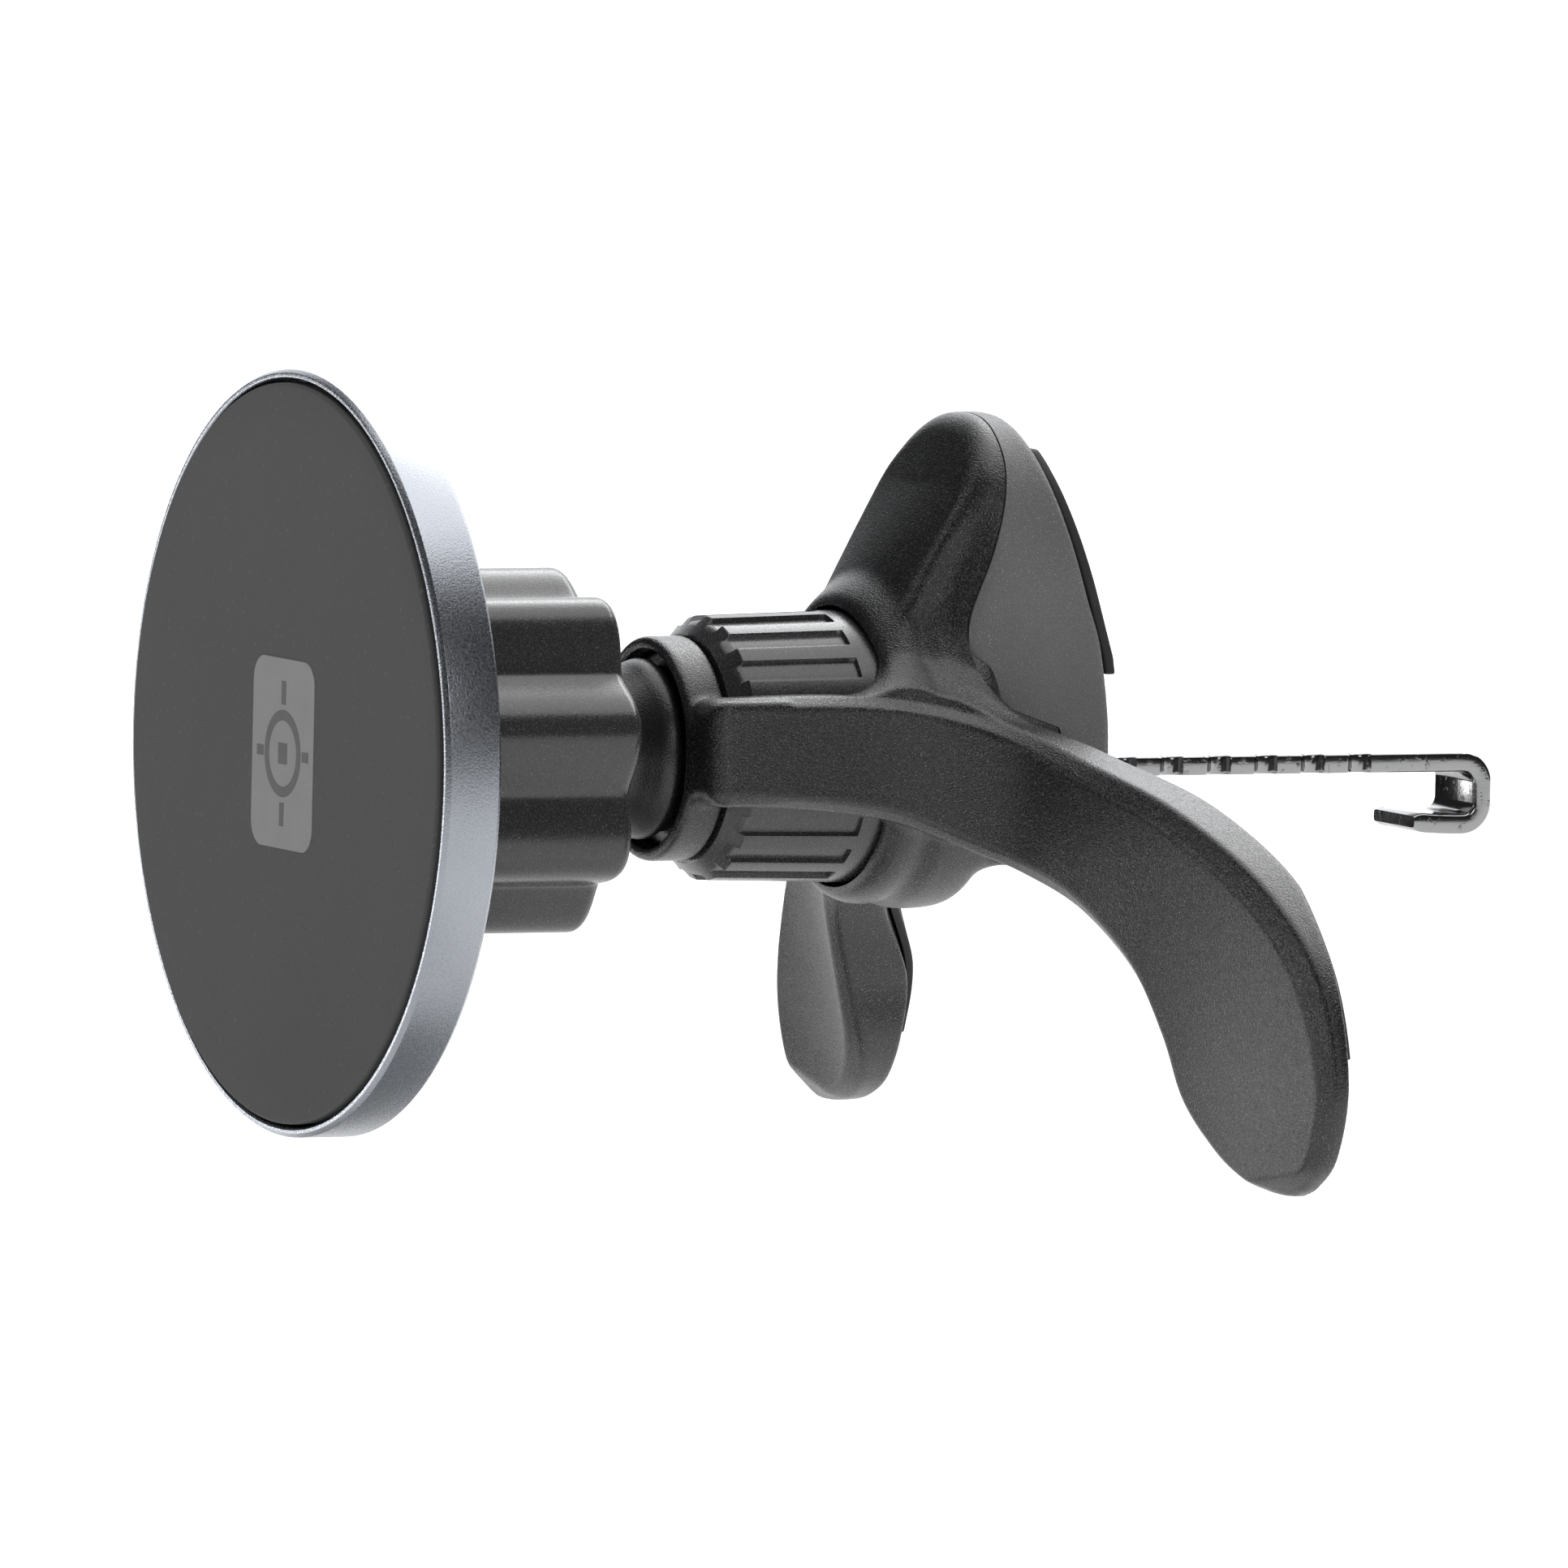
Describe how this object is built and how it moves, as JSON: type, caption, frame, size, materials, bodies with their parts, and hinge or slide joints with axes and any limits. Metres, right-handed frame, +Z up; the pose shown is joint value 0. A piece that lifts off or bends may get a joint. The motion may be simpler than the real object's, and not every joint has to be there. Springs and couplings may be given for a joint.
{
  "type": "car phone mount",
  "caption": "Magnetic phone mount for a car air vent: round plate on a ball joint with a lobed lock nut, tripod body, knurled nut and J-ended steel hook.",
  "frame": {"origin": "centre of the pad's front face, where the phone sits", "axes": "+Y along the mount's axis from the phone to the vent, +Z up with the single upper leg, +X to the side"},
  "size_m": [0.098, 0.1004, 0.06],
  "materials": {
    "pad_rubber": "matt",
    "aluminium": "bead blasted and anodised",
    "body_plastic": "fine spark-eroded texture",
    "nut_plastic": "satin with a light texture",
    "stud_plastic": "fine texture",
    "hidden_plastic": "plain",
    "steel": "zinc plated",
    "nickel": "nickel plated",
    "chrome": "bright plated"
  },
  "bodies": {
    "stand": {"front_shell": "body_plastic", "rear_shell": "body_plastic", "ball_stud": "stud_plastic", "stud_screw": "steel", "shell_screw_1": "steel", "shell_screw_2": "steel", "shell_screw_3": "steel", "hook_guide": "hidden_plastic", "upper_pad": "pad_rubber", "left_pad": "pad_rubber", "right_pad": "pad_rubber", "thrust_washer": "steel"},
    "ball_cup": {"friction_cup": "hidden_plastic"},
    "ball_ring": {"pressure_ring": "hidden_plastic"},
    "plate": {"face_pad": "pad_rubber", "bezel_ring": "aluminium", "steel_yoke": "steel", "magnet_carrier": "hidden_plastic", "rear_cover": "body_plastic", "cover_screw_1": "steel", "cover_screw_2": "steel", "cover_screw_3": "steel", "magnet_01": "nickel", "magnet_02": "nickel", "magnet_03": "nickel", "magnet_04": "nickel", "magnet_05": "nickel", "magnet_06": "nickel", "magnet_07": "nickel", "magnet_08": "nickel", "magnet_09": "nickel", "magnet_10": "nickel", "magnet_11": "nickel", "magnet_12": "nickel"},
    "clamp": {"clamp_ring": "steel"},
    "lock": {"lock_nut": "nut_plastic"},
    "adjuster": {"adjusting_nut": "nut_plastic", "circlip": "steel"},
    "hook": {"hook": "chrome"}
  },
  "joints": [
    {"name": "head_pitch", "type": "hinge", "parent": "stand", "child": "ball_cup", "pos_m": [0, 0.0194, 0], "axis": [1, 0, 0], "range_deg": [-15, 15]},
    {"name": "head_yaw", "type": "hinge", "parent": "ball_cup", "child": "ball_ring", "pos_m": [0, 0.0194, 0], "axis": [0, 0, 1], "range_deg": [-15, 15]},
    {"name": "head_roll", "type": "hinge", "parent": "ball_ring", "child": "plate", "pos_m": [0, 0.0194, 0], "axis": [0, 1, 0], "continuous": true},
    {"name": "clamp_travel", "type": "slide", "parent": "plate", "child": "clamp", "axis": [0, 1, 0], "range_m": [0, 0.00084]},
    {"name": "lock_nut_turn", "type": "hinge", "parent": "clamp", "child": "lock", "pos_m": [0, 0.0194, 0], "axis": [0, 1, 0], "range_deg": [0, 200]},
    {"name": "adjusting_nut_turn", "type": "hinge", "parent": "stand", "child": "adjuster", "pos_m": [0, 0.0404, 0], "axis": [0, 1, 0], "range_deg": [0, 1800]},
    {"name": "hook_travel", "type": "slide", "parent": "stand", "child": "hook", "axis": [0, -1, 0], "range_m": [0, 0.0201]}
  ],
  "couplings": [
    {"joint": "clamp_travel", "follows": "lock_nut_turn", "m_per_rad": 0.00023873},
    {"joint": "hook_travel", "follows": "adjusting_nut_turn", "m_per_rad": 0.00063662}
  ]
}
